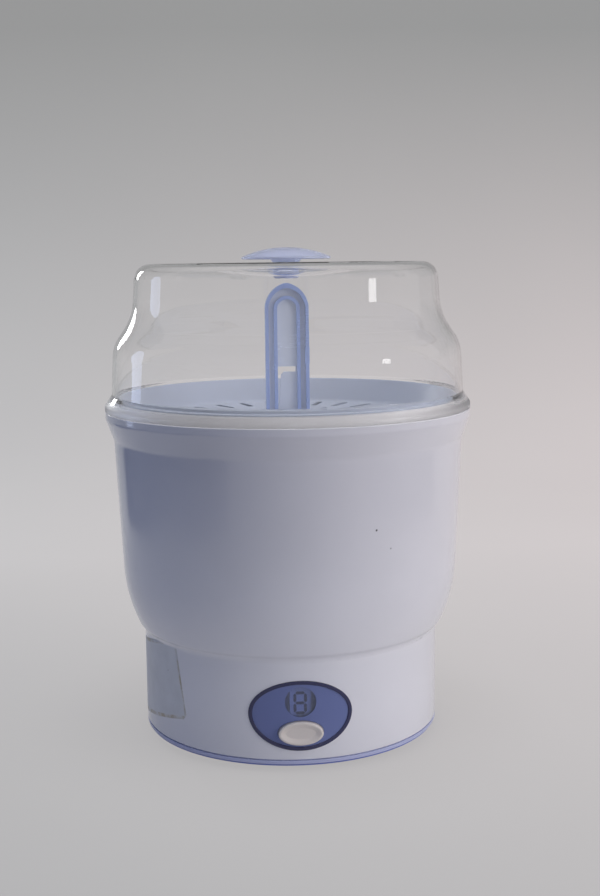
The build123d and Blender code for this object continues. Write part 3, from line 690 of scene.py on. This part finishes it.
# Dark navy: the panel's own blue with painted shade of its bevelled border.
BEZEL_NAVY_PAINTED_SHADE = Moulding("bezel_navy", shade(52, 53, 88), roughness=0.22, edge=shade(96, 100, 140))
FASCIA_BLUE = Moulding(
    "fascia_blue", shade(106, 118, 168), roughness=0.3, edge=shade(120, 128, 168)
)
WINDOW_SMOKE = ClearMoulding(
    "window_smoke",
    shade(190, 199, 230),
    roughness=0.06,
    clearness=0.92,
    lamp_tint=shade(226, 231, 246),
)
BUTTON_IVORY = Moulding(
    "button_ivory",
    shade(226, 218, 211),
    roughness=0.3,
    edge=shade(222, 216, 208),
    edge_share=0.3,
    coat=0.1,
)
BOARD_GREEN = CircuitBoard(
    "board_green", shade(24, 84, 52), roughness=0.35, track=shade(40, 112, 66)
)
BOARD_PALE = CircuitBoard(
    "board_pale", shade(190, 199, 224), roughness=0.4, track=shade(178, 187, 214)
)
PART_BLACK = Moulding("part_black", shade(34, 35, 38), roughness=0.4, edge=shade(90, 90, 92))
PART_BLUE = Moulding("part_blue", shade(40, 92, 168), roughness=0.36, edge=shade(96, 138, 196))
TAPE_YELLOW = Moulding(
    "tape_yellow", shade(214, 176, 62), roughness=0.3, cloud=0.08, cloud_size=0.008
)
DISPLAY_GREY = Moulding(
    "display_grey", shade(184, 195, 228), roughness=0.5, edge_share=0.0, dust=0.0
)
DISPLAY_INK = Moulding("display_ink", shade(26, 29, 60), roughness=0.4, edge_share=0.0, dust=0.0)
SEAL_SILICONE = Moulding("seal_silicone", shade(214, 210, 204), roughness=0.55, skin=0.00004)
TRAY_BLUE = Moulding(
    "tray_blue", shade(200, 208, 228), roughness=0.3, edge=shade(196, 206, 226), glow_through=0.25
)
RACK_BLUE = Moulding(
    "rack_blue", shade(146, 172, 232), roughness=0.32, edge=shade(196, 210, 242), glow_through=0.2
)
HANDLE_BLUE = RibbedMoulding(
    "handle_blue",
    shade(224, 231, 247),
    roughness=0.26,
    edge=shade(120, 150, 226),
    rib_colour=shade(170, 189, 238),
    glow_through=0.15,
)
LID_CLEAR = ClearMoulding(
    "lid_clear",
    shade(255, 255, 255),
    roughness=0.0,
    refraction=1.38,
    scuffs=0.15,
    scuff_depth=0.03,
    skin=0.000004,
    frosted_below=(0.2165, 0.2185),
    frost=0.4,
    lamp_tint=shade(250, 250, 250),
)
KNOB_BLUE = ClearMoulding(
    "knob_blue",
    shade(232, 236, 251),
    roughness=0.22,
    clearness=0.62,
    lamp_tint=shade(220, 226, 246),
)
PLATE_STEEL = Metal(
    "plate_steel",
    shade(196, 196, 198),
    roughness=0.22,
    grain=Grain.TURNED,
    stain=shade(206, 196, 176),
    stain_share=0.5,
)
SCREW_STEEL = Metal("screw_steel", shade(190, 190, 194), roughness=0.3, grain_depth=0.00001)
STRAP_STEEL = Metal("strap_steel", shade(176, 176, 180), roughness=0.36)
BLOCK_ALUMINIUM = Metal(
    "block_aluminium", shade(190, 191, 194), roughness=0.42, grain=Grain.CAST, grain_depth=0.00008
)
ELEMENT_STEEL = Metal(
    "element_steel", shade(150, 142, 134), roughness=0.4, stain=shade(96, 84, 72), stain_share=0.6
)
CAN_ALUMINIUM = Metal("can_aluminium", shade(204, 206, 210), roughness=0.25)
FILM_WHITE = Moulding(
    "film_white",
    shade(214, 216, 220),
    roughness=0.42,
    cloud=0.05,
    cloud_size=0.012,
    specks=0.05,
    speck_size=0.004,
    edge=shade(160, 144, 106),
    edge_share=0.7,
    edge_width=0.0009,
    edge_patches=0.006,
)


def add_object(name: str, data: bpy.types.ID) -> bpy.types.Object:
    """Make an object for a mesh, lamp or camera and link it to the scene."""
    item = bpy.data.objects.new(name, data)
    bpy.context.scene.collection.objects.link(item)
    return item


def add_sheet(name: str, points: list[Vector], faces: list[tuple[int, ...]]) -> bpy.types.Object:
    """Make a smooth sheet from its points and faces.

    Args:
        name: The sheet's name.
        points: Corner points in metres.
        faces: Faces as point numbers, counter-clockwise from outside.

    Returns:
        The new object, linked to the scene.
    """
    mesh = bpy.data.meshes.new(name)
    mesh.from_pydata(points, [], faces)
    mesh.update()
    for face in mesh.polygons:
        face.use_smooth = True
    return add_object(name, mesh)


@dataclass
class Assembly:
    """A sub-assembly: its nodes with their finishes, and the body that carries it."""

    nodes: dict[str, bpy.types.Object]
    body: str = "base"
    finishes: dict[str, Finish] = field(default_factory=dict)

    def dress(self) -> None:
        """Give each of the assembly's nodes its finish."""
        for name, finish in self.finishes.items():
            finish.dress(self.nodes[name])
            log.info("%s: %s on %s", name, finish.name, self.body)

    def extras(self) -> None:
        """Make the pieces that only the looks need."""

    def build(self) -> None:
        """Dress the nodes and make the extra pieces."""
        self.dress()
        self.extras()


@dataclass
class Housing(Assembly):
    """The white shell with its trim ring, bottom cover, feet, screws and a blank film."""

    foot_radius: float = 96.2 * MILLIMETRE
    film_lift: float = 0.12 * MILLIMETRE
    film_width: float = 74.0 * MILLIMETRE
    film_height: float = 49.0 * MILLIMETRE
    film_corner: float = 3.0 * MILLIMETRE
    film_tilt: float = math.radians(11.0)
    film_edge_angle: float = math.radians(-45.5)
    film_bottom: float = 25.2 * MILLIMETRE
    film_columns: int = 48
    film_rows: int = 22

    def extras(self) -> None:
        """Make the worn blank film."""
        film = self.worn_film()
        FILM_WHITE.dress(film)
        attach(film, self.body)
        log.info("%s: %s on %s", film.name, FILM_WHITE.name, self.body)

    def worn_film(self) -> bpy.types.Object:
        """Lay a thin film with round corners on the foot, a little askew.

        Returns:
            The film's object.
        """
        points, faces = [], []
        for row in range(self.film_rows + 1):
            up = self.film_height * row / self.film_rows
            inset = self.corner_inset(up)
            for column in range(self.film_columns + 1):
                share = column / self.film_columns
                back = inset + (self.film_width - 2 * inset) * share
                along = -back * math.cos(self.film_tilt) - up * math.sin(self.film_tilt)
                drop = back * math.sin(self.film_tilt)
                height = self.film_bottom - drop + up * math.cos(self.film_tilt)
                angle = self.film_edge_angle + along / self.foot_radius
                reach = self.foot_radius + self.film_lift
                points.append(Vector((reach * math.sin(angle), -reach * math.cos(angle), height)))
        across = self.film_columns + 1
        for row in range(self.film_rows):
            for column in range(self.film_columns):
                first = row * across + column
                faces.append((first, first + across, first + across + 1, first + 1))
        film = add_sheet("worn_film", points, faces)
        solid = film.modifiers.new("film_thickness", "SOLIDIFY")
        solid.thickness = self.film_lift
        solid.offset = -1.0
        return film

    def corner_inset(self, up: float) -> float:
        """Return how far the film's ends draw in at a height, for its round corners."""
        near = min(up, self.film_height - up)
        if near >= self.film_corner:
            return 0.0
        drop = self.film_corner - near
        return self.film_corner - math.sqrt(max(self.film_corner**2 - drop**2, 0.0))


@dataclass
class ControlPanel(Assembly):
    """The oval panel with its window, button and one-digit display."""

    digit_height: float = 14.2 * MILLIMETRE
    digit_width: float = 8.1 * MILLIMETRE
    segment_width: float = 1.8 * MILLIMETRE
    segment_gap: float = 0.25 * MILLIMETRE
    segment_proud: float = 0.12 * MILLIMETRE
    digit_centre: tuple[float, float] = (0.0, 42.1 * MILLIMETRE)

    def extras(self) -> None:
        """Make the digit's seven segments."""
        digit = self.segments()
        DISPLAY_INK.dress(digit)
        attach(digit, self.body)
        log.info("%s: %s on %s", digit.name, DISPLAY_INK.name, self.body)

    def segments(self) -> bpy.types.Object:
        """Stand seven mitred bars on the face of the display.

        Returns:
            The object that holds all seven bars.
        """
        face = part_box("digit_module")[0].y
        side = (self.digit_width - self.segment_width) / 2
        rise = (self.digit_height - self.segment_width) / 4
        lying = [(0.0, height, False, side) for height in (-2 * rise, 0.0, 2 * rise)]
        standing = [(x, height, True, rise) for x in (-side, side) for height in (-rise, rise)]
        builder = bmesh.new()
        for x, height, stands, half in lying + standing:
            self.bar(builder, Vector((x, face, height)), stands, half - self.segment_gap)
        mesh = bpy.data.meshes.new("digit_segments")
        builder.to_mesh(mesh)
        builder.free()
        mesh.transform(Matrix.Translation((self.digit_centre[0], 0.0, self.digit_centre[1])))
        return add_object("digit_segments", mesh)

    def bar(self, builder: bmesh.types.BMesh, middle: Vector, stands: bool, half: float) -> None:
        """Add one segment: a six-sided bar with pointed ends.

        Args:
            builder: The mesh to add to.
            middle: The segment's middle on the display's face.
            stands: True for an upright segment.
            half: Half its length in metres.
        """
        point = self.segment_width / 2
        outline = [(-half, 0), (-half + point, -point), (half - point, -point)]
        outline += [(-x, -y) for x, y in outline]
        rims = []
        for depth in (0.0, -self.segment_proud):
            ring = []
            for along, across in outline:
                x, z = (across, along) if stands else (along, across)
                ring.append(builder.verts.new(middle + Vector((x, depth, z))))
            rims.append(ring if not stands else ring[::-1])
        back, front = rims
        builder.faces.new(front)
        builder.faces.new(back[::-1])
        for place in range(len(front)):
            after = (place + 1) % len(front)
            builder.faces.new((front[after], front[place], back[place], back[after]))


@dataclass(frozen=True)
class Fitting:
    """Something that stands round the object and faces its axis.

    Its turn and tilt are in degrees, and its reach, size and aim in metres.
    """

    name: str
    turn: float
    tilt: float
    reach: float
    size: tuple[float, float]
    aim: float = 0.15

    def stand(self, item: bpy.types.Object) -> None:
        """Put the item in its place, out of the camera's sight.

        Args:
            item: The lamp or card.
        """
        turn, tilt = math.radians(self.turn), math.radians(self.tilt)
        level = math.cos(tilt)
        away = Vector((math.sin(turn) * level, -math.cos(turn) * level, math.sin(tilt)))
        item.location = Vector((0.0, 0.0, self.aim)) + away * self.reach
        item.rotation_mode = "QUATERNION"
        item.rotation_quaternion = (-away).to_track_quat("-Z", "Y")
        item.visible_camera = False
        item.visible_transmission = False


@dataclass(frozen=True)
class Lamp(Fitting):
    """A soft studio lamp that no view shows directly, and that is an oval where gloss shows it."""

    watts: float = 1.0
    colour: Colour = (1.0, 1.0, 1.0, 1.0)
    spread: float = 180.0
    mirrored: bool = False

    def hang(self) -> None:
        """Hang the lamp and aim it."""
        light = bpy.data.lights.new(self.name, "AREA")
        light.shape = "ELLIPSE" if self.mirrored else "RECTANGLE"
        light.size, light.size_y = self.size
        light.energy = self.watts
        light.color = self.colour[:3]
        light.spread = math.radians(self.spread)
        lamp = add_object(self.name, light)
        self.stand(lamp)
        lamp.visible_glossy = self.mirrored


@dataclass(frozen=True)
class Card(Fitting):
    """A card that shows only in glossy reflections and shades nothing."""

    tone: Colour = (0.1, 0.1, 0.1, 1.0)

    def hang(self) -> None:
        """Stand the card up and aim it."""
        wide, tall = self.size[0] / 2, self.size[1] / 2
        outline = [(-wide, -tall, 0.0), (wide, -tall, 0.0), (wide, tall, 0.0), (-wide, tall, 0.0)]
        mesh = bpy.data.meshes.new(self.name)
        mesh.from_pydata(outline, [], [(0, 1, 2, 3)])
        card = add_object(self.name, mesh)
        self.stand(card)
        card.visible_diffuse = False
        card.visible_shadow = False
        Glow(self.name, self.tone).dress(card)


@dataclass
class Studio:
    """The camera at the photograph's place, the pale sweep of backdrop, the lamps and the room."""

    camera_place: Vector = field(default_factory=lambda: Vector((-0.0463, -0.8279, 0.3029)))
    heading: float = math.radians(3.73)
    pitch: float = math.radians(8.198)
    roll: float = math.radians(0.669)
    lens: float = 51.33
    clip: Span = (0.01, 60.0)
    shade_colour: Colour = shade(116, 136, 186)
    shade_strength: float = 0.36
    room_colour: Colour = shade(196, 195, 196)
    front_edge: float = -1.6
    curve_start: float = 0.9
    curve_radius: float = 0.8
    wall_top: float = 3.2
    half_width: float = 4.0
    curve_steps: int = 24
    paper: Finish = BackdropPaper(
        "backdrop_paper",
        shade(205, 205, 205),
        roughness=0.9,
        # Painted light on the right, painted shade high on the wall and near the front.
        painted_light_right=shade(224, 216, 215),
        painted_shade_high=shade(166, 166, 165),
        near=shade(180, 180, 180),
    )
    fittings: tuple[Lamp | Card, ...] = (
        Lamp("window_right", 62, 18, 1.7, (1.5, 1.5), watts=14.8, colour=shade(255, 248, 241)),
        Lamp("ceiling", 0, 88, 1.9, (0.9, 0.9), watts=7.0, spread=120),
        Lamp("low_front", 12, 3, 0.62, (0.30, 0.06), aim=0.035, watts=0.012, spread=26),
        Lamp("petal_lamp", 59, 5, 1.0, (0.11, 0.16), aim=0.27, watts=0.5, mirrored=True),
        Lamp("front_strip", 0, 62, 1.1, (0.34, 0.05), aim=0.28, watts=0.25, mirrored=True),
        Lamp("back_left", -148, 7, 1.15, (0.18, 0.3), aim=0.33, watts=0.9, mirrored=True),
        Lamp(
            "left_edge",
            turn=-112,
            tilt=6,
            reach=1.3,
            size=(0.3, 0.6),
            aim=0.2,
            watts=1.3,
            colour=shade(206, 220, 255),
            mirrored=True,
        ),
        Card("dark_left", -104, 0, 0.60, (0.62, 0.13), aim=0.066, tone=shade(52, 62, 90)),
        Card("dark_front_left", -58, 0, 0.58, (0.40, 0.10), aim=0.051, tone=shade(70, 78, 104)),
        Card("dim_right", 72, 0, 0.62, (0.62, 0.09), aim=0.046, tone=shade(120, 120, 126)),
    )

    def build(self) -> None:
        """Set up the camera, the backdrop, the lamps and the room's light."""
        self.stand_camera()
        self.sweep()
        for fitting in self.fittings:
            fitting.hang()
        self.light_room()

    def stand_camera(self) -> None:
        """Stand the camera where the photograph was taken."""
        data = bpy.data.cameras.new("photograph_view")
        data.lens = self.lens
        data.clip_start, data.clip_end = self.clip
        camera = add_object("photograph_view", data)
        turn = Matrix.Rotation(-self.heading, 3, "Z")
        lean = Matrix.Rotation(math.pi / 2 - self.pitch, 3, "X")
        roll = Matrix.Rotation(-self.roll, 3, "Z")
        camera.rotation_euler = (turn @ lean @ roll).to_euler()
        camera.location = self.camera_place
        bpy.context.scene.camera = camera

    def sweep(self) -> None:
        """Roll the backdrop out under the object and up behind it."""
        line = [(self.front_edge, 0.0), (self.curve_start, 0.0)]
        for step in range(1, self.curve_steps + 1):
            angle = math.pi / 2 * step / self.curve_steps
            rise = self.curve_radius * (1 - math.cos(angle))
            line.append((self.curve_start + self.curve_radius * math.sin(angle), rise))
        line.append((self.curve_start + self.curve_radius, self.wall_top))
        points = [Vector((side * self.half_width, y, z)) for y, z in line for side in (-1, 1)]
        faces = [(2 * n, 2 * n + 1, 2 * n + 3, 2 * n + 2) for n in range(len(line) - 1)]
        sheet = add_sheet("backdrop", points, faces)
        self.paper.dress(sheet)

    def light_room(self) -> None:
        """Light the object with the room's bluish shade, and show a pale room to eye and gloss."""
        world = bpy.data.worlds.new("room")
        bpy.context.scene.world = world
        world.use_nodes = True
        graph = Graph(world.node_tree)
        feeds = {"Color": self.shade_colour, "Strength": self.shade_strength}
        shade_light = graph.add("Background", feeds)
        pale_view = graph.add("Background", {"Color": self.room_colour, "Strength": 1.0})
        feeds = {0: graph.seen(), 1: shade_light.outputs[0], 2: pale_view.outputs[0]}
        graph.add("OutputWorld", {"Surface": graph.add("MixShader", feeds).outputs[0]})


def assemblies(nodes: dict[str, bpy.types.Object]) -> list[Assembly]:
    """List the sub-assemblies in the order in which they are dressed.

    Args:
        nodes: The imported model's nodes by name.

    Returns:
        The sub-assemblies.
    """
    housing = {
        "outer_housing": SHELL_WHITE,
        "base_ring": TRIM_LILAC,
        "base_cover": COVER_BLUE,
        "rubber_feet": FOOT_RUBBER,
        "cover_screws": SCREW_STEEL,
        "inlet_bush": BUSH_GREY,
    }
    panel = {
        "panel_bezel": BEZEL_NAVY_PAINTED_SHADE,
        "panel_fascia": FASCIA_BLUE,
        "display_window": WINDOW_SMOKE,
        "display_board": BOARD_PALE,
        "digit_module": DISPLAY_GREY,
        "switch_body": PART_BLACK,
    }
    button = {"button_cap": BUTTON_IVORY, "switch_plunger": PART_BLACK}
    heater = {
        "plate_seal": SEAL_SILICONE,
        "heating_plate": PLATE_STEEL,
        "heater_block": BLOCK_ALUMINIUM,
        "heater_element": ELEMENT_STEEL,
        "heater_strap": STRAP_STEEL,
        "strap_screws": SCREW_STEEL,
        "thermostat": PART_BLACK,
        "thermal_fuse": CAN_ALUMINIUM,
    }
    power = {
        "power_board": BOARD_GREEN,
        "board_screws": SCREW_STEEL,
        "transformer": TAPE_YELLOW,
        "relay": PART_BLUE,
        "capacitor": CAN_ALUMINIUM,
        "terminal_block": PART_BLUE,
    }
    lid = {
        "lid_dome": LID_CLEAR,
        "lid_knob": KNOB_BLUE,
        "knob_retainer": KNOB_BLUE,
    }
    return [
        Housing(nodes, "base", housing),
        ControlPanel(nodes, "base", panel),
        Assembly(nodes, "button", button),
        Assembly(nodes, "base", heater),
        Assembly(nodes, "base", power),
        Assembly(nodes, "tray", {"parts_tray": TRAY_BLUE}),
        Assembly(nodes, "rack", {"bottle_rack": RACK_BLUE, "stem_handle": HANDLE_BLUE}),
        Assembly(nodes, "lid", lid),
    ]


def main() -> None:
    """Load the frame, set up the studio, and dress every sub-assembly."""
    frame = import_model()
    bpy.context.scene.view_settings.view_transform = "Standard"
    Studio().build()
    for assembly in assemblies(frame["nodes"]):
        assembly.build()


if __name__ == "__main__":
    main()
